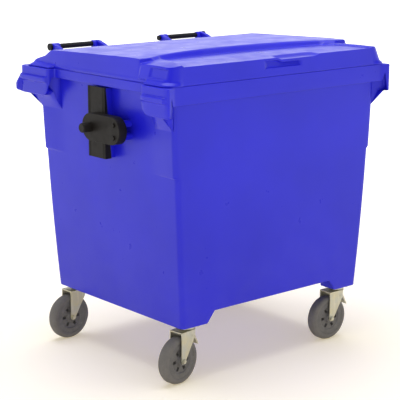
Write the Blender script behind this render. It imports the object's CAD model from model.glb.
import math
import bmesh
import bpy
import numpy as np
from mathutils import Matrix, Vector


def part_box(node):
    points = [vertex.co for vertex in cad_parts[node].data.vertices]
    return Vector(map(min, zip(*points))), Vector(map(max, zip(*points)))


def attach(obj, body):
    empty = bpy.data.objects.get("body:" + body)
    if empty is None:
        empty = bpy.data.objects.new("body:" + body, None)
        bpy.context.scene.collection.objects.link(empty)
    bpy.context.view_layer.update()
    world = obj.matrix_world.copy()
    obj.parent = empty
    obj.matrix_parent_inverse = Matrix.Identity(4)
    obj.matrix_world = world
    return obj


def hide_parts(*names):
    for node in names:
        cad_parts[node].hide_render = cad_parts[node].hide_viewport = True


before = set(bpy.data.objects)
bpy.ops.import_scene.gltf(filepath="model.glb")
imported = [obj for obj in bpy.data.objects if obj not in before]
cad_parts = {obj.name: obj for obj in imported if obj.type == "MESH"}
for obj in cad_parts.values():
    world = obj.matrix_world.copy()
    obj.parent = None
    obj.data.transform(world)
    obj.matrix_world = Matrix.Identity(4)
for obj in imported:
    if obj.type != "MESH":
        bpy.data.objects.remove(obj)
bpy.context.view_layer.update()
print("frame loaded:", len(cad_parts), "nodes")

corners = ["front_left", "front_right", "rear_left", "rear_right"]
mm = 0.001

# The shapes below are worked out in millimetres about the middle of the tub, and
# the castor plates say where that middle is in the frame.
plateBoxes = [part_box("castor_plate_" + c) for c in corners]
midY = sum(low[1] + high[1] for low, high in plateBoxes) / (2 * len(plateBoxes))


def inFrame(points):
    # millimetres about the tub's middle -> metres in the frame
    return np.asarray(points, float) * mm + np.array([0.0, midY, 0.0])


def roundedRows(keys, radii, steps=4):
    # Each inner key K becomes a quadratic curve (1-t)^2 A + 2t(1-t) K + t^2 B, where A and B
    # lie the radius away from K towards the keys before and after it.
    keys = np.asarray(keys, float)
    radii = np.broadcast_to(np.asarray(radii, float), keys.shape[:-1])
    t = np.linspace(0, 1, steps + 1)[:, None]
    rows = [keys[..., :1, :]]
    for k in range(1, keys.shape[-2] - 1):
        corner = keys[..., k, :]
        if not radii[..., k].any():
            rows.append(corner[..., None, :])
            continue
        before = keys[..., k - 1, :] - corner
        after = keys[..., k + 1, :] - corner
        lenA = np.linalg.norm(before, axis=-1) + 1e-9
        lenB = np.linalg.norm(after, axis=-1) + 1e-9
        back = np.minimum(radii[..., k], 0.48 * np.minimum(lenA, lenB))
        a = (corner + before * (back / lenA)[..., None])[..., None, :]
        b = (corner + after * (back / lenB)[..., None])[..., None, :]
        c = corner[..., None, :]
        rows.append((1 - t) ** 2 * a + 2 * t * (1 - t) * c + t ** 2 * b)
    rows.append(keys[..., -1:, :])
    return np.concatenate(rows, axis=-2)


def splitLong(points, longest, closed=True):
    # Cuts every stretch into the fewest equal parts no longer than longest: a + (b - a) k / n
    start = points if closed else points[:-1]
    step = (np.roll(points, -1, axis=0) if closed else points[1:]) - start
    parts = np.maximum(1, np.ceil(np.linalg.norm(step, axis=1) / longest)).astype(int)
    stretch = np.repeat(np.arange(len(start)), parts)
    count = np.arange(len(stretch)) - np.repeat(np.cumsum(parts) - parts, parts)
    out = start[stretch] + step[stretch] * (count / parts[stretch])[:, None]
    return out if closed else np.concatenate([out, points[-1:]])


def smoothStep(x, low, high):
    # 0 below low, 1 above high, and t t (3 - 2 t) between them
    t = np.clip((x - low) / (high - low), 0, 1)
    return t * t * (3 - 2 * t)


def gridFaces(nu, nv, closeU=False, closeV=False):
    # One four-sided face between each point of a grid and the next ones along both ways
    i, j = np.meshgrid(np.arange(nu if closeU else nu - 1), np.arange(nv if closeV else nv - 1), indexing="ij")
    iNext, jNext = (i + 1) % nu, (j + 1) % nv
    return np.stack([i * nv + j, iNext * nv + j, iNext * nv + jNext, i * nv + jNext], -1).reshape(-1, 4)


def gridPart(grid, closeU=False, closeV=False):
    # A grid of points as a list of corners and a list of faces
    grid = np.asarray(grid, float)
    return grid.reshape(-1, 3), gridFaces(grid.shape[0], grid.shape[1], closeU, closeV)


def turned(profile, steps=64, axis="z"):
    # A profile of (radius, height) pairs turned round an axis: x = r cos a, y = r sin a
    profile = np.asarray(profile, float)
    a = np.linspace(0, 2 * np.pi, steps, endpoint=False)[:, None]
    r, h = profile[None, :, 0], profile[None, :, 1] + 0 * a
    ring = [r * np.cos(a), r * np.sin(a), h]
    order = {"z": (0, 1, 2), "x": (2, 0, 1), "y": (1, 2, 0)}[axis]
    return gridPart(np.stack([ring[k] for k in order], -1), closeU=True)


def swept(outline, depth0, depth1, edge=0.0, steps=3):
    # A closed outline in the plane, carried from depth0 to depth1, with both rims rounded by
    # moving the outline inwards along its normals by edge (1 - cos a) at depth edge (1 - sin a)
    outline = np.asarray(outline, float)
    ahead, behind = np.roll(outline, -1, axis=0), np.roll(outline, 1, axis=0)
    along = ahead - behind
    along /= np.linalg.norm(along, axis=1, keepdims=True) + 1e-12
    inward = np.stack([-along[:, 1], along[:, 0]], -1)
    area = np.sum(outline[:, 0] * ahead[:, 1] - ahead[:, 0] * outline[:, 1])
    inward *= np.sign(area)
    a = np.linspace(0, np.pi / 2, steps + 1)
    inset = np.concatenate([edge * (1 - np.sin(a)), edge * (1 - np.sin(a[::-1]))])
    depth = np.concatenate([depth0 + edge * (1 - np.cos(a)), depth1 - edge * (1 - np.cos(a[::-1]))])
    rows = outline[:, None, :] + inward[:, None, :] * inset[None, :, None]
    middle = outline.mean(axis=0)
    rows = np.concatenate([np.broadcast_to(middle, (len(outline), 1, 2)), rows,
                           np.broadcast_to(middle, (len(outline), 1, 2))], axis=1)
    depth = np.concatenate([[depth[0]], depth, [depth[-1]]])
    grid = np.concatenate([rows, np.broadcast_to(depth[None, :, None], rows.shape[:2] + (1,))], -1)
    return gridPart(grid, closeU=True)


def roundedOutline(keys, radii, steps=4):
    # A closed outline whose corners are the quadratic curves of roundedRows
    keys = np.asarray(keys, float)
    radii = np.broadcast_to(np.asarray(radii, float), (len(keys),))
    wrapped = np.concatenate([keys[-1:], keys, keys[:1]])
    return roundedRows(wrapped, np.concatenate([[0], radii, [0]]), steps)[1:-1]


def moved(part, order=(0, 1, 2), at=(0, 0, 0), flip=(1, 1, 1)):
    # Puts a part's columns in another order, mirrors them and shifts them
    verts = part[0][:, list(order)] * np.array(flip, float) + np.array(at, float)
    return verts, part[1]


def makePiece(name, parts, body, material, replaces=(), sharp=34, merge=0.00002):
    # Joins parts into one mesh, closes its seams, turns its faces outwards and gives it to its body
    verts, faces, count = [], [], 0
    for v, f in parts:
        verts.append(v)
        faces.append(f + count)
        count += len(v)
    verts = inFrame(np.concatenate(verts))
    mesh = bpy.data.meshes.new(name)
    mesh.from_pydata(verts.tolist(), [], np.concatenate(faces).tolist())
    bm = bmesh.new()
    bm.from_mesh(mesh)
    bmesh.ops.remove_doubles(bm, verts=bm.verts, dist=merge)
    bmesh.ops.dissolve_degenerate(bm, dist=merge / 2, edges=bm.edges)
    bmesh.ops.recalc_face_normals(bm, faces=bm.faces)
    bm.to_mesh(mesh)
    bm.free()
    mesh.polygons.foreach_set("use_smooth", np.ones(len(mesh.polygons), bool))
    mesh.set_sharp_from_angle(angle=math.radians(sharp))
    piece = bpy.data.objects.new(name, mesh)
    bpy.context.collection.objects.link(piece)
    mesh.materials.append(material)
    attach(piece, body)
    if replaces:
        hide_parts(*replaces)
    print("  ", name, len(mesh.polygons), "faces")
    return piece


def startMaterial(name):
    material = bpy.data.materials.new(name)
    material.use_nodes = True
    nodes, links = material.node_tree.nodes, material.node_tree.links
    shader = nodes["Principled BSDF"]
    coords = nodes.new("ShaderNodeTexCoord")
    return material, nodes, links, shader, coords.outputs["Object"]


def noiseOn(nodes, links, vector, scale, detail=4.0, rough=0.55, stretch=None, seed=0.0):
    # Noise of a place p, or of stretch p + seed when a stretch is given
    if stretch:
        mapping = nodes.new("ShaderNodeMapping")
        mapping.inputs["Scale"].default_value = stretch
        mapping.inputs["Location"].default_value = (seed, seed, seed)
        links.new(vector, mapping.inputs["Vector"])
        vector = mapping.outputs["Vector"]
    noise = nodes.new("ShaderNodeTexNoise")
    noise.inputs["Scale"].default_value = scale
    noise.inputs["Detail"].default_value = detail
    noise.inputs["Roughness"].default_value = rough
    links.new(vector, noise.inputs["Vector"])
    return noise.outputs["Fac"]


def ramp(nodes, links, value, low, high, outLow=0.0, outHigh=1.0):
    # outLow + (outHigh - outLow) (value - low) / (high - low), held between its ends
    node = nodes.new("ShaderNodeMapRange")
    node.inputs["From Min"].default_value = low
    node.inputs["From Max"].default_value = high
    node.inputs["To Min"].default_value = outLow
    node.inputs["To Max"].default_value = outHigh
    links.new(value, node.inputs["Value"])
    return node.outputs["Result"]


def mixColour(nodes, links, factor, a, b):
    # a (1 - factor) + b factor
    node = nodes.new("ShaderNodeMix")
    node.data_type = "RGBA"
    node.clamp_factor = True
    links.new(factor, node.inputs["Factor"])
    for socket, value in ((node.inputs[6], a), (node.inputs[7], b)):
        if isinstance(value, tuple):
            socket.default_value = value + (1.0,)
        else:
            links.new(value, socket)
    return node.outputs[2]


def combine(nodes, links, operation, a, b):
    node = nodes.new("ShaderNodeMath")
    node.operation = operation
    for socket, value in ((node.inputs[0], a), (node.inputs[1], b)):
        if isinstance(value, (int, float)):
            socket.default_value = value
        else:
            links.new(value, socket)
    return node.outputs[0]


def addBump(nodes, links, shader, heights):
    # heights is a list of (value, strength, distance), laid one on another
    normal = None
    for value, strength, distance in heights:
        bump = nodes.new("ShaderNodeBump")
        bump.inputs["Strength"].default_value = strength
        bump.inputs["Distance"].default_value = distance
        links.new(value, bump.inputs["Height"])
        if normal:
            links.new(normal, bump.inputs["Normal"])
        normal = bump.outputs["Normal"]
    links.new(normal, shader.inputs["Normal"])


plasticLook = {"deep": (0.008, 0.008, 0.47), "pale": (0.011, 0.0105, 0.53), "dust": (0.07, 0.07, 0.42),
               "shine": 0.30, "roughLow": 0.27, "roughHigh": 0.40}


def bluePlastic(name, dustLow, dustHigh, look=plasticLook):
    # Moulded polyethylene: slow colour drift, a fine grain, faint upright scuffs and dust low down
    material, nodes, links, shader, here = startMaterial(name)
    drift = noiseOn(nodes, links, here, 2.2, 3.0, seed=3.1)
    grain = noiseOn(nodes, links, here, 420.0, 2.0)
    peel = noiseOn(nodes, links, here, 70.0, 2.0)
    scuff = noiseOn(nodes, links, here, 60.0, 5.0, 0.7, stretch=(1.0, 1.0, 0.06), seed=5.0)
    scuffMask = ramp(nodes, links, scuff, 0.60, 0.80)
    base = mixColour(nodes, links, ramp(nodes, links, drift, 0.35, 0.65), look["deep"], look["pale"])
    split = nodes.new("ShaderNodeSeparateXYZ")
    links.new(here, split.inputs["Vector"])
    low = ramp(nodes, links, split.outputs["Z"], dustHigh, dustLow)
    cloud = ramp(nodes, links, noiseOn(nodes, links, here, 9.0, 6.0, 0.65, seed=8.0), 0.42, 0.75)
    dust = combine(nodes, links, "MULTIPLY", combine(nodes, links, "MULTIPLY", low, cloud), 0.16)
    dust = combine(nodes, links, "ADD", dust, combine(nodes, links, "MULTIPLY", scuffMask, 0.05))
    links.new(mixColour(nodes, links, dust, base, look["dust"]), shader.inputs["Base Color"])
    rough = ramp(nodes, links, noiseOn(nodes, links, here, 14.0, 5.0), 0.3, 0.7,
                 look["roughLow"], look["roughHigh"])
    links.new(combine(nodes, links, "ADD", rough, combine(nodes, links, "MULTIPLY", dust, 0.3)),
              shader.inputs["Roughness"])
    shader.inputs["IOR"].default_value = 1.50
    shader.inputs["Specular IOR Level"].default_value = look["shine"]
    addBump(nodes, links, shader, [(drift, 0.25, 0.004), (peel, 0.08, 0.0005), (grain, 0.05, 0.0002)])
    return material


def darkCoat(name, colour=(0.011, 0.0095, 0.0085), rough=0.46, metal=0.0, scale=500.0,
             worn=(0.030, 0.027, 0.024)):
    # Black coating or moulding with a fine orange peel and rubbed patches
    material, nodes, links, shader, here = startMaterial(name)
    rubbed = ramp(nodes, links, noiseOn(nodes, links, here, 38.0, 7.0, 0.7, seed=2.0), 0.60, 0.78)
    links.new(mixColour(nodes, links, combine(nodes, links, "MULTIPLY", rubbed, 0.5), colour, worn),
              shader.inputs["Base Color"])
    links.new(ramp(nodes, links, noiseOn(nodes, links, here, 25.0, 5.0), 0.3, 0.7, rough - 0.08, rough + 0.12),
              shader.inputs["Roughness"])
    shader.inputs["Metallic"].default_value = metal
    shader.inputs["Specular IOR Level"].default_value = 0.13
    addBump(nodes, links, shader, [(noiseOn(nodes, links, here, scale, 2.0), 0.25, 0.0003)])
    return material


def zincPlate(name):
    # Passivated zinc: yellowish and bluish clouds, drawn streaks and dulled spots
    material, nodes, links, shader, here = startMaterial(name)
    cloud = ramp(nodes, links, noiseOn(nodes, links, here, 30.0, 4.0, 0.6, seed=1.5), 0.35, 0.65)
    tint = mixColour(nodes, links, cloud, (0.52, 0.48, 0.33), (0.46, 0.46, 0.40))
    streak = noiseOn(nodes, links, here, 90.0, 4.0, 0.7, stretch=(1.0, 1.0, 0.12), seed=4.0)
    tint = mixColour(nodes, links, ramp(nodes, links, streak, 0.52, 0.75), tint, (0.64, 0.60, 0.46))
    spots = ramp(nodes, links, noiseOn(nodes, links, here, 160.0, 6.0, 0.7, seed=6.0), 0.60, 0.72)
    tint = mixColour(nodes, links, combine(nodes, links, "MULTIPLY", spots, 0.55), tint, (0.28, 0.25, 0.20))
    links.new(tint, shader.inputs["Base Color"])
    shader.inputs["Metallic"].default_value = 0.85
    links.new(ramp(nodes, links, streak, 0.3, 0.75, 0.34, 0.52), shader.inputs["Roughness"])
    addBump(nodes, links, shader, [(streak, 0.12, 0.0004), (spots, 0.10, 0.0002)])
    return material


def dustyRubber(name, colour=(0.105, 0.098, 0.092), dust=(0.17, 0.158, 0.145), rough=0.72):
    # Grey rubber with pale dust in clouds and fine pitting
    material, nodes, links, shader, here = startMaterial(name)
    cloud = ramp(nodes, links, noiseOn(nodes, links, here, 45.0, 7.0, 0.7, seed=7.0), 0.42, 0.72)
    links.new(mixColour(nodes, links, combine(nodes, links, "MULTIPLY", cloud, 0.6), colour, dust),
              shader.inputs["Base Color"])
    links.new(ramp(nodes, links, cloud, 0.0, 1.0, rough - 0.08, rough + 0.12), shader.inputs["Roughness"])
    addBump(nodes, links, shader, [(noiseOn(nodes, links, here, 320.0, 4.0, 0.7), 0.30, 0.0005)])
    return material


tubPlastic = bluePlastic("tub plastic", 0.24, 0.75)
lidPlastic = bluePlastic("lid plastic", 0.2, 0.5)
blackCoat = darkCoat("black coat")
gripPlastic = darkCoat("grip plastic", (0.012, 0.012, 0.013), 0.5)
zinc = zincPlate("zinc plate")
rubber = dustyRubber("tyre rubber")
hubPlastic = dustyRubber("hub plastic", (0.085, 0.080, 0.078), (0.17, 0.16, 0.15), 0.6)
bearingPlastic = dustyRubber("bearing plastic", (0.05, 0.05, 0.05), (0.12, 0.12, 0.11), 0.5)
print("materials made")


tubSizes = {
    "lowHalf": 507.5, "highHalf": 560.5, "lowDeep": 439.5, "highDeep": 461.5,  # half widths and depths
    "barrel": 5, "cornerR": 20, "wall": 6, "insideR": 22,
    "footZ": 240, "floorZ": 290, "floorTop": 298, "footInner": 374, "footSlope": 38,
    "rimHalf": 594, "rimFront": 486, "rimBack": 497, "rimT": 5, "rimTop": 1239,
    "bandZ": 1165, "sideRimZ": 1200, "channelDrop": 10,
    "earX": 628, "earFront": 505, "earBack": 522, "earEndFront": 335, "earEndRear": 312,
    "earSlant": 46, "earRoot": 562, "earRootRun": 22, "earZ": 1121, "earFoot": 34, "earSill": 16,
    "earDroop": 1, "earArch": 46, "gussetZ": 1060,
    "bead": 11, "beadDrop": 33, "beadH": 30, "beadFront": 488,
    "lipY": 556, "lipShelf": (12, 50, 43),  # where the rear lip's slope starts: out, down, and its top
    "pillarZ": 870, "pillarOut": 9, "pillarRun": 180,
    "pathStep": 14,
}


def wallHalf(z, t=tubSizes):
    # Half width and half depth at z: a straight taper plus a bow 4 b s (1 - s)
    s = (z - t["footZ"]) / (t["bandZ"] - t["footZ"])
    bow = t["barrel"] * 4 * s * (1 - s)
    return (t["lowHalf"] + (t["highHalf"] - t["lowHalf"]) * s + bow,
            t["lowDeep"] + (t["highDeep"] - t["lowDeep"]) * s + bow)


def wallPoint(path, z, inset=0.0, t=tubSizes):
    # The nearest point of the wall's rounded rectangle: a point is held to the rectangle
    # of the corners' centres, then moved from there towards the path by the radius less inset
    halfW, halfD = wallHalf(z)
    r = t["cornerR"]
    core = np.stack([np.clip(path[:, 0], -(halfW - r), halfW - r),
                     np.clip(path[:, 1], -(halfD - r), halfD - r)], -1)
    away = path[:, :2] - core
    away /= np.linalg.norm(away, axis=1, keepdims=True) + 1e-9
    return atHeight(core + away * (r - inset), z)


def atHeight(flat, z):
    # Adds heights to a list of points in plan
    return np.concatenate([flat, np.broadcast_to(z, (len(flat),))[:, None]], -1)


def tubPath(t=tubSizes):
    # Half of the rim's outline from the front's middle round to the back's, then its mirror image
    inner = t["footInner"] - t["footSlope"]
    keys = [(0, -t["rimFront"]), (inner, -t["rimFront"]), (t["footInner"], -t["rimFront"]),
            (t["earX"] - t["earSlant"], -t["rimFront"]), (t["earX"] - 4, -t["earFront"]),
            (t["earX"], -t["earFront"] + 20),
            (t["earX"], -t["earEndFront"]), (t["rimHalf"], -t["earEndFront"] + 8),
            (t["rimHalf"], t["earEndRear"] - 8), (t["earX"], t["earEndRear"]), (t["earX"], t["earBack"]),
            (t["earRoot"] + t["earRootRun"], t["earBack"]), (t["earRoot"], t["rimBack"]),
            (t["footInner"], t["rimBack"]), (inner, t["rimBack"]), (0, t["rimBack"])]
    radii = [0, 0, 0, 9, 13, 9, 9, 6, 6, 9, 28, 12, 10, 0, 0, 0]
    half = roundedRows(np.array(keys, float), radii, 7)
    return splitLong(np.concatenate([half, half[1:-1][::-1] * [-1, 1]]), t["pathStep"])


def buildTub(t=tubSizes):
    # One station at each point of the rim's path. A station's profile starts in the middle of the
    # underside, runs out and up the wall, round the rim, down the inside and back to the middle.
    path = tubPath()
    n = len(path)
    x, y = path[:, 0], path[:, 1]
    ax = np.abs(x)
    # a station belongs to an ear when it is past the rim's side or past its bands
    isEar = np.maximum.reduce([smoothStep(ax, t["rimHalf"] + 1, t["earX"] - 2),
                               smoothStep(-y, t["rimFront"] + 1, t["earFront"] - 1),
                               smoothStep(y, t["rimBack"] + 1, t["earBack"] - 1)]) > 0.5
    isSide = (ax > t["rimHalf"] - 2) & ~isEar
    rearLip = smoothStep(y, t["earBack"] - 14, t["earBack"] - 1)
    # lower edge: feet at the corners and along the sides, raised between them
    isSkirt = (np.abs(y) > t["rimFront"] - 40) & (ax < t["footInner"])
    drop = np.clip((ax - t["footInner"] + t["footSlope"]) / t["footSlope"], 0, 1)
    zLow = np.where(isSkirt, t["floorZ"] - (t["floorZ"] - t["footZ"]) * drop, t["footZ"])
    # lower edge of an ear, which rises at its end by R - sqrt(R R - d d)
    arch = t["earArch"]
    fromEnd = np.where(y < 0, -t["earEndFront"] - y, y - t["earEndRear"])
    d = np.clip(arch - fromEnd, 0, arch)
    zEar = t["earZ"] + np.where(isEar, arch - np.sqrt(arch ** 2 - d ** 2), 0)
    zLip = np.where(isEar, zEar, np.where(isSide, t["sideRimZ"], t["bandZ"]))
    along = np.roll(path, -1, axis=0) - np.roll(path, 1, axis=0)
    along /= np.linalg.norm(along, axis=1, keepdims=True)
    outward = np.stack([along[:, 1], -along[:, 0]], -1)
    pillar = (smoothStep(np.abs(y), t["highDeep"] - t["pillarRun"], t["highDeep"] + 10)
              * smoothStep(ax, t["highHalf"] - 70, t["highHalf"] - 20))

    def rimAt(offset, z):
        # the rim's path moved outwards by offset
        return atHeight(path + outward * np.broadcast_to(offset, (n,))[:, None], z)

    def wallAt(z, extra=0.0):
        # the outer wall, with the pillars standing out sideways by extra
        p = wallPoint(path, z)
        p[:, 0] += np.sign(x) * pillar * extra
        return p

    def insideAt(z):
        return wallPoint(path, z, t["wall"])

    def rows(keys, radii, steps=3):
        return roundedRows(np.stack(keys, 1), radii, steps)

    middleLow = atHeight(np.zeros((n, 2)), float(t["floorZ"]))
    middleHigh = atHeight(np.zeros((n, 2)), float(t["floorTop"]))
    under = insideAt(t["floorZ"])
    parts = [rows([middleLow, middleLow * 0.6 + under * 0.4, under, insideAt(np.minimum(zLow, t["floorZ"])),
                   wallPoint(path, zLow), wallAt(np.maximum(zLow, t["floorTop"] + 2))], [0, 0, 5, 2.5, 4, 0])]
    foot, out = t["pillarZ"], t["pillarOut"]
    parts.append(np.stack([wallAt(z) for z in np.linspace(t["floorZ"] + 40, foot - 12, 26)], 1))
    parts.append(rows([wallAt(foot - 10), wallAt(foot - 2), wallAt(foot + 4, out), wallAt(foot + 14, out)],
                      [0, 5, 6, 0]))
    parts.append(np.stack([wallAt(z, out) for z in np.linspace(foot + 30, t["gussetZ"] - 14, 8)], 1))

    # under the rim: a channel behind the bands, and a slope out to the foot of an ear
    channelZ = t["rimTop"] - float(t["channelDrop"])
    pick = isEar[:, None]
    slopeLow = wallAt(np.where(isEar, t["gussetZ"], channelZ), out)
    slopeHigh = np.where(pick, rimAt(-t["earFoot"], zEar), rimAt(-t["rimT"], channelZ))
    sill = np.where(pick, rimAt(-t["earSill"], zEar), rimAt(-t["rimT"], zLip))

    # four rows up the rim's face: the bead of an ear, or the hand lip behind a rear ear
    high = t["rimTop"] - t["beadDrop"]
    low, slope = high - t["beadH"], t["bead"] / 2
    lipOut, lipDown, lipTop = t["lipShelf"]
    lipRun = t["lipY"] - t["earBack"]
    face = [  # bead height, bead out, lip height, lip out, least height over the lower edge
        (low, 0, t["earZ"] + 6, lipRun, 4.0),
        (low + slope, t["bead"], t["bandZ"] - 7, lipRun, 4.5),
        (high - slope, t["bead"], t["rimTop"] - lipDown, lipOut, 4.5),
        (high, 0, t["rimTop"] - lipTop, 0, 4.0),
    ]
    lipShare = rearLip * (outward[:, 1] > 0.5) * isEar
    beadShare = isEar * outward[:, 0] ** 2 * smoothStep(ax, t["rimHalf"], t["earX"] - 3) * np.maximum(
        smoothStep(-y, t["earEndFront"] + 2, t["earEndFront"] + 12)
        * smoothStep(y, -t["beadFront"] - 8, -t["beadFront"] + 8),
        smoothStep(y, t["earEndRear"] + 2, t["earEndRear"] + 12))
    ring = []
    for zBead, outBead, zHand, outHand, least in face:
        share = (zBead - t["earZ"]) / (t["rimTop"] - t["earZ"])
        z = np.where(isEar, zBead, zLip + (t["rimTop"] - zLip) * share)
        z = z * (1 - lipShare) + zHand * lipShare
        ring.append(rimAt(outBead * beadShare * (1 - lipShare) + outHand * lipShare,
                          np.maximum(z, zLip + least)))
    edge = rimAt(0, t["rimTop"] - t["earDroop"] * smoothStep(ax, t["rimHalf"], t["earX"]))
    parts.append(rows([wallAt(t["gussetZ"] - 6.0, out), slopeLow, (slopeLow + slopeHigh) / 2, slopeHigh, sill,
                       rimAt(0, zLip)] + ring + [edge, insideAt(float(t["rimTop"])), insideAt(1190.0)],
                      [0, 9, 0, 7, 2, 5, 5, 6, 6, 5, 3, 4, 0], 4))
    parts.append(np.stack([insideAt(z) for z in np.linspace(1140, 340, 12)], 1))
    floorEdge = insideAt(float(t["floorTop"]))
    parts.append(rows([insideAt(330.0), floorEdge, floorEdge * [0.5, 0.5, 1], middleHigh],
                      [0, t["insideR"], 0, 0], 5))
    return gridPart(np.concatenate(parts, axis=1), closeU=True)


hingeSizes = {
    "y": 554, "z": 1300, "knuckle": 15.5, "edge": 2.5, "pointStep": 12,
    "lugs": [(199, 219), (401, 421)], "arms": [(178, 198), (422, 442)],
    "lugLeg": [(497, 1227), (492, 1222), (492, 1168), (499, 1165), (504, 1168), (509, 1184)],
    "armLeg": [(505, 1303), (457, 1283), (454, 1272), (457, 1262), (480, 1252), (489, 1247), (503, 1247)],
}


def hingeBrackets(spans, start, end, leg, h=hingeSizes):
    # An arc of the knuckle, y + r cos a and z + r sin a, joined to a leg and carried across each span
    a = np.radians(np.linspace(start, end, 14))
    knuckle = np.stack([h["y"] + h["knuckle"] * np.cos(a), h["z"] + h["knuckle"] * np.sin(a)], -1)
    outline = splitLong(np.concatenate([knuckle, np.array(leg, float)]), h["pointStep"])
    sides = [sorted((sign * x0, sign * x1)) for x0, x1 in spans for sign in (-1, 1)]
    return [moved(swept(outline, x0, x1, h["edge"]), (2, 0, 1)) for x0, x1 in sides]


footSizes = {"x0": 375, "x1": 502, "y0": 344, "y1": 435, "z0": 240, "z1": 262, "top": 292,
             "rib": 8, "cornerR": 12, "edge": 2.5}


def feet(f=footSizes):
    # The plates the castors are bolted to, with two ribs on each: rounded rectangles carried upwards
    def block(x1, y1, radius, z0, z1, edge):
        keys = [(f["x0"], f["y0"]), (x1, f["y0"]), (x1, y1), (f["x0"], y1)]
        return swept(roundedOutline(keys, radius), z0, z1, edge)

    stand = [block(f["x1"], f["y1"], f["cornerR"], f["z0"], f["z1"], f["edge"]),
             block(f["x0"] + f["rib"], f["y1"], 2, f["z1"] - 3, f["top"], 0.5),
             block(f["x1"], f["y0"] + f["rib"], 2, f["z1"] - 3, f["top"], 0.5)]
    return [moved(b, flip=(sx, sy, 1)) for b in stand for sx in (-1, 1) for sy in (-1, 1)]


padSizes = {"halfY": 56.5, "low": 902, "high": 1192, "face": 600, "lipLow": 31, "lipHigh": 7, "gap": 0.4,
            "boltY": -168, "boltZ": (1007, 1059), "boltR": 15, "edgeR": 4,
            "strapHalf": 58, "ribs": (52, 45), "ribDeep": 1.8, "strapEdge": 1.2}


def lipAt(z, q=padSizes):
    # depth of the strap's turned-in edges, which grows evenly from the top to the bottom
    return q["lipHigh"] + (q["lipLow"] - q["lipHigh"]) * (q["high"] - z) / (q["high"] - q["low"])


def stacked(rings, heights):
    # One ring of points (x, y) at each height, drawn together to a point at both ends
    rings = np.concatenate([rings, np.broadcast_to(heights[:, None, None], rings.shape[:2] + (1,))], -1)
    ends = [np.broadcast_to(k.mean(axis=1, keepdims=True), k.shape) for k in (rings[:1], rings[-1:])]
    return gridPart(np.swapaxes(np.concatenate([ends[0], rings, ends[1]]), 0, 1), closeU=True)


def trunnionPads(q=padSizes):
    # Behind each strap a rounded rectangle at each height, from the wall to the strap's edges, and
    # two turned stems that the plate's bolts run into
    z = np.linspace(q["low"] + 1, q["high"] - 1, 14)
    inner = wallHalf(z)[0] - 4
    outer = q["face"] - lipAt(z) - q["gap"]
    half = np.full_like(z, q["halfY"])
    keys = np.stack([np.stack(k, -1) for k in ((inner, 0 * z), (inner, -half), (outer, -half), (outer, half),
                                               (inner, half), (inner, 0 * z))], 1)
    r, b = q["edgeR"], q["boltR"]
    parts = [stacked(roundedRows(keys, [0, r, r, r, r, 0], 4)[:, :-1], z)]
    stem = turned([(0, 545), (b + 2, 545), (b, 552), (b, q["face"] - 1.5), (b - 1, q["face"] - 0.5),
                   (0, q["face"] - 0.5)], 32, "x")
    parts += [moved(stem, at=(0, q["boltY"], boltZ)) for boltZ in q["boltZ"]]
    return [moved(part, flip=(sign, 1, 1)) for part in parts for sign in (-1, 1)]


lugs = hingeBrackets(hingeSizes["lugs"], 0, 180, hingeSizes["lugLeg"])
makePiece("tub_shell", [buildTub()] + lugs + feet() + trunnionPads(), "tub", tubPlastic,
          replaces=["tub"])
print("tub made")


lidSizes = {
    "shelf": 1315, "rimTop": 1239.5, "half": 578, "front": 473, "back": 489,
    "cornerR": 40, "backR": 30, "ledge": 1257, "skin": 4, "crown": 2.6, "shelfFall": 3,
    "spineY": [-600, -180, 302, 346, 356, 394, 400, 458, 489],  # the panel's middle line, front to back
    "spineZ": [1330, 1330, 1315, 1312.5, 1310, 1287, 1285, 1269, 1258],
    "brimHalf": 594, "brimEar": 616, "brimFront": 486, "brimBack": 497,
    "stepEnds": -266, "stepMiddle": -150, "stepHalf": 520, "stepRun": (9, 38), "dip": 9, "dipRun": 150,
    "bevelX": (462, 520), "bevelY": (-259, -430), "bevelRise": 7, "bevelFall": 11,
    "notch": (-10, 190, -446, -418), "notchDeep": 9, "notchSoft": 30,
    "grip": (-100, 100, 1273), "gripDeep": 11, "panel": (-468, -346), "panelDeep": 4, "block": 9,
}


def lidHeight(x, y, s=lidSizes):
    # The panel's middle line plus a crown c (1 - u u), joined by a step to the shelf. The step's
    # line bows as (1 - (x / h)^2)^0.8. The shelf has bevels at its sides, a dip and a notch.
    ax = np.abs(x)
    panel = (np.interp(y, s["spineY"], s["spineZ"])
             + s["crown"] * (1 - np.clip(ax / s["half"], 0, 1) ** 2) * smoothStep(-y, -300, 0))
    bow = np.clip(1 - (x / s["stepHalf"]) ** 2, 0, 1) ** 0.8
    stepTop = s["stepEnds"] + (s["stepMiddle"] - s["stepEnds"]) * bow
    stepLow = stepTop - s["stepRun"][0] - s["stepRun"][1] * bow
    dip = s["dip"] * bow * np.clip(1 - (stepLow - y) / s["dipRun"], 0, 1) ** 2
    share = np.clip((y - s["bevelY"][0]) / (s["bevelY"][1] - s["bevelY"][0]), 0, 1.3)
    bevelX = s["bevelX"][0] + (s["bevelX"][1] - s["bevelX"][0]) * share
    bevel = (s["bevelRise"] * smoothStep(ax, bevelX - 9, bevelX)
             - s["bevelFall"] * smoothStep(ax, bevelX, s["half"] + 30))
    x0, x1, y0, y1 = s["notch"]
    soft = s["notchSoft"]
    notch = (smoothStep(x, x0 - soft, x0 + 10) * smoothStep(-x, -x1 - soft, -x1 + 10)
             * np.clip((y1 - y) / (y1 - y0), 0, 1))
    shelf = s["shelf"] + bevel - dip - s["shelfFall"] * smoothStep(-y, 380, 475) - s["notchDeep"] * notch
    up = np.clip((y - stepLow) / (stepTop - stepLow), 0, 1)
    return shelf + (panel - shelf) * up * up * (3 - 2 * up)


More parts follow.
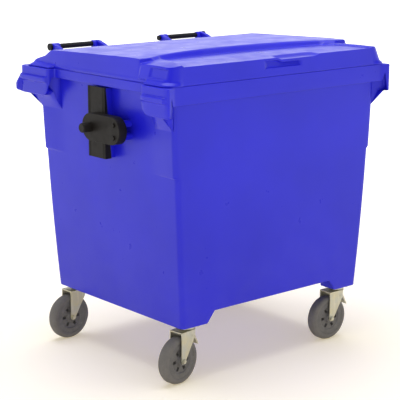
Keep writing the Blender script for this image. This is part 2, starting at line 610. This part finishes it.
def topEdge(y, s=lidSizes):
    # Half width at y of a rectangle with rounded corners: at an end it loses R - sqrt(R R - d d)
    lost = 0
    for radius, fromEnd in ((s["cornerR"], y + s["front"]), (s["backR"], s["back"] - y)):
        d = np.clip(radius - fromEnd, 0, radius)
        lost = lost + radius - np.sqrt(np.maximum(radius ** 2 - d ** 2, 0))
    return s["half"] - lost


def buildLid(s=lidSizes, t=tubSizes):
    # The top is a grid of columns x = u w(y) with rows closer together at the step and the corners.
    # The skirt has one profile at each point of the top's edge, from there down to the brim.
    rf, rb = s["cornerR"], s["backR"]
    arc = 1 - np.cos(np.linspace(0, np.pi / 2, 9))
    ys = np.unique(np.concatenate([-s["front"] + rf * arc, np.arange(-s["front"] + rf, -130, 5.0),
                                   np.arange(-130, 300, 16.0), np.arange(300, s["back"] - rb, 9.0),
                                   s["back"] - rb * arc[::-1]]).round(3))
    us = np.concatenate([np.linspace(-1, -0.76, 22)[:-1], np.linspace(-0.76, 0.76, 122),
                         np.linspace(0.76, 1, 22)[1:]])
    xs = us[:, None] * topEdge(ys)[None, :]
    yy = np.broadcast_to(ys, xs.shape)
    top = np.stack([xs, yy, lidHeight(xs, yy)], -1)
    ring = np.concatenate([top[:, 0], top[-1, 1:], top[:-1, -1][::-1], top[0, 1:-1][::-1]])

    flat, zTop = ring[:, :2], ring[:, 2]
    x, y = flat[:, 0], flat[:, 1]
    core = np.stack([np.clip(x, -(s["half"] - rf), s["half"] - rf),
                     np.clip(y, -(s["front"] - rf), s["back"] - rb)], -1)
    away = flat - core
    away /= np.linalg.norm(away, axis=1, keepdims=True) + 1e-9
    sideways = np.abs(away[:, 0])
    overEar = np.maximum(smoothStep(-y, t["earEndFront"] - 4, t["earEndFront"] + 2),
                         smoothStep(y, t["earEndRear"] - 4, t["earEndRear"] + 2))
    block = smoothStep(-y, t["earEndFront"] - 60, t["earEndFront"] - 52) * sideways
    reach = (np.where(y < 0, s["brimFront"] - s["front"], s["brimBack"] - s["back"]) * np.abs(away[:, 1])
             + (s["brimHalf"] - s["half"]) * sideways)
    brim = reach + (s["brimEar"] - s["brimHalf"]) * overEar * sideways
    foot = reach * 0.82 + s["block"] * block
    zFoot = np.minimum(s["ledge"], zTop - 12)

    # the grip in the front and the sunk panels beside the front corners
    x0, x1, gripLow = s["grip"]
    y0, y1 = s["panel"]
    grip = (away[:, 1] < -0.9) * smoothStep(x, x0, x0 + 5) * smoothStep(-x, -x1, -x1 + 5)
    sunk = (sideways > 0.98) * smoothStep(y, y0, y0 + 5) * smoothStep(-y, -y1, -y1 + 5)
    inset = s["gripDeep"] * grip + s["panelDeep"] * sunk
    zHigh = zTop - 9
    zLow = zFoot + np.where(grip > 0, gripLow - s["ledge"], 9)

    def skirtAt(offset, z):
        return atHeight(flat + away * np.broadcast_to(offset, y.shape)[:, None], z)

    def sideAt(z, deeper=0.0):
        # the skirt's side leans out evenly from the top to its foot
        share = np.clip((zTop - z) / (zTop - zFoot), 0, 1)
        return skirtAt(3 * (1 - share) + foot * share - deeper, z)

    keys = [ring, skirtAt(3, zTop - 0.4), sideAt(zHigh), sideAt(zHigh - 2, inset),
            sideAt(zLow + 2, inset * (1 - 0.6 * grip)), sideAt(zLow), sideAt(zFoot),
            skirtAt(brim * 0.98, zFoot - 5 - 6 * overEar), skirtAt(brim, s["rimTop"] + 0.2)]
    skirt = roundedRows(np.stack(keys, 1), [0, 3, 2, 2, 2, 2, 5, 2, 0], 4)
    return [gridPart(top), gridPart(skirt, closeU=True)]


arms = hingeBrackets(hingeSizes["arms"], -68, 90, hingeSizes["armLeg"])
lid = makePiece("lid_shell", buildLid(), "lid", lidPlastic, replaces=["lid"])
makePiece("lid_arms", arms, "lid", lidPlastic)
wallOfLid = lid.modifiers.new("wall", "SOLIDIFY")
wallOfLid.thickness = lidSizes["skin"] * mm
wallOfLid.offset = -1
print("lid made")


def buildStrap(sign, q=padSizes):
    # The same outline at each height: a flat face with two shallow grooves along each edge, and
    # a back whose place follows the turned-in edges
    z = np.linspace(q["low"] - 2, q["high"] + 2, 24)
    half = q["strapHalf"]
    edges = [(half, 0)] + [(rib - k, deep) for rib in q["ribs"]
                           for k, deep in ((0, 0), (2, q["ribDeep"]), (4, 0))]
    y, deep = np.array(edges).T
    face = np.stack([q["face"] - np.concatenate([deep, deep[::-1]]), np.concatenate([-y, y[::-1]])], -1)
    back = q["face"] - lipAt(z)
    rings = np.broadcast_to(face, (len(z),) + face.shape)
    ends = [np.stack([back, np.full_like(z, e)], -1)[:, None, :] for e in (-half, half)]
    return moved(stacked(np.concatenate([ends[0], rings, ends[1]], axis=1), z), flip=(sign, 1, 1))


for side, sign in (("left", -1), ("right", 1)):
    strap = makePiece("strap_" + side, [buildStrap(sign)], "tub", blackCoat,
                      replaces=["trunnion_strap_" + side])
    rounding = strap.modifiers.new("edges", "BEVEL")
    rounding.width = padSizes["strapEdge"] * mm
    rounding.segments = 2
    rounding.angle_limit = math.radians(50)
print("straps made")


nodeLooks = {
    "drain_plug": blackCoat, "hinge_rod": zinc, "hinge_grip": gripPlastic, "hinge_caps": gripPlastic,
    "trunnion_plate": blackCoat, "trunnion_pin": blackCoat,
    "trunnion_bolts": blackCoat, "castor_plate": zinc, "castor_bolts": zinc, "castor_king_pin": zinc,
    "castor_race": zinc, "castor_fork": zinc, "castor_axle": zinc, "wheel_bearing": bearingPlastic,
    "wheel_hub": hubPlastic, "wheel_tyre": rubber, "brake_pedal": zinc, "brake_shoe": blackCoat,
}


def softenNode(node, material, width=0.8):
    # Joins the node's loose triangles and rounds its edges
    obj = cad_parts[node]
    for slotOfNode in obj.material_slots:
        slotOfNode.material = material
    weld = obj.modifiers.new("weld", "WELD")
    weld.merge_threshold = 0.00002
    bevel = obj.modifiers.new("edges", "BEVEL")
    bevel.width = width * mm
    bevel.segments = 2
    bevel.angle_limit = math.radians(30)


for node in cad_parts:
    kind = next((k for k in nodeLooks if node.startswith(k)), None)
    if kind:
        softenNode(node, nodeLooks[kind])
print("frame nodes finished")


stageLook = {"floorSize": 60.0, "floorTone": (0.80, 0.785, 0.76), "floorGlow": (0.34, 0.285, 0.17),
             "horizon": 1.45, "zenith": 0.20, "key": 330.0, "keySize": 5.0, "fill": 34.0}


def makeStage(look=stageLook):
    half = look["floorSize"] / 2
    mesh = bpy.data.meshes.new("floor")
    mesh.from_pydata([(-half, -half, 0), (half, -half, 0), (half, half, 0), (-half, half, 0)], [],
                     [(0, 1, 2, 3)])
    floor = bpy.data.objects.new("floor", mesh)
    bpy.context.collection.objects.link(floor)
    material, nodes, links, shader, here = startMaterial("pale floor")
    cloud = noiseOn(nodes, links, here, 3.0, 4.0)
    tone = look["floorTone"]
    links.new(mixColour(nodes, links, cloud, tone, tuple(v * 1.02 for v in tone)), shader.inputs["Base Color"])
    shader.inputs["Roughness"].default_value = 0.9
    # glow that grows to white away from the bin
    length = nodes.new("ShaderNodeVectorMath")
    length.operation = "LENGTH"
    links.new(here, length.inputs[0])
    far = ramp(nodes, links, length.outputs["Value"], 1.6, 5.0)
    links.new(mixColour(nodes, links, far, look["floorGlow"], (1.0, 1.0, 1.0)), shader.inputs["Emission Color"])
    shader.inputs["Emission Strength"].default_value = 1.0
    mesh.materials.append(material)


def addLight(name, spot, aim, power, size, colour=(1, 1, 1)):
    # A square lamp at spot, tilted by acos of the downward share of its way to aim
    light = bpy.data.lights.new(name, "AREA")
    light.energy = power
    light.size = size
    light.color = colour
    lamp = bpy.data.objects.new(name, light)
    lamp.location = spot
    direction = np.array(aim, float) - np.array(spot, float)
    direction /= np.linalg.norm(direction)
    pitch = math.acos(-direction[2])
    yaw = math.atan2(direction[1], direction[0]) - math.pi / 2
    lamp.rotation_euler = (pitch, 0, yaw)
    bpy.context.collection.objects.link(lamp)


makeStage()
world = bpy.data.worlds.new("studio")
world.use_nodes = True
skyNodes, skyLinks = world.node_tree.nodes, world.node_tree.links
skyWay = skyNodes.new("ShaderNodeTexCoord")
skySplit = skyNodes.new("ShaderNodeSeparateXYZ")
skyLinks.new(skyWay.outputs["Generated"], skySplit.inputs["Vector"])
skyLevel = ramp(skyNodes, skyLinks, skySplit.outputs["Z"], 0.30, 0.52,
                stageLook["horizon"], stageLook["zenith"])
skyNodes["Background"].inputs["Color"].default_value = (1, 1, 1, 1)
skyLinks.new(skyLevel, skyNodes["Background"].inputs["Strength"])
bpy.context.scene.world = world
bpy.context.scene.view_settings.view_transform = "Standard"
addLight("overhead", (0.2, 0.5, 5.6), (0, 0, 0.9), stageLook["key"], stageLook["keySize"])
addLight("front", (-3.6, -5.0, 2.3), (0, 0, 0.7), stageLook["fill"], 1.2)

viewSpot = {"place": (-3.73962, -4.35969, 1.93246), "turn": (77.23073, 0.0, -40.3033), "lens": 118.5515,
            "sensor": 36.0}  # metres about the tub's middle, degrees, millimetres
cameraData = bpy.data.cameras.new("view")
cameraData.lens = viewSpot["lens"]
cameraData.sensor_width = viewSpot["sensor"]
camera = bpy.data.objects.new("view", cameraData)
camera.location = (viewSpot["place"][0], viewSpot["place"][1] + midY, viewSpot["place"][2])
camera.rotation_euler = [math.radians(a) for a in viewSpot["turn"]]
bpy.context.collection.objects.link(camera)
bpy.context.scene.camera = camera
print("stage ready")
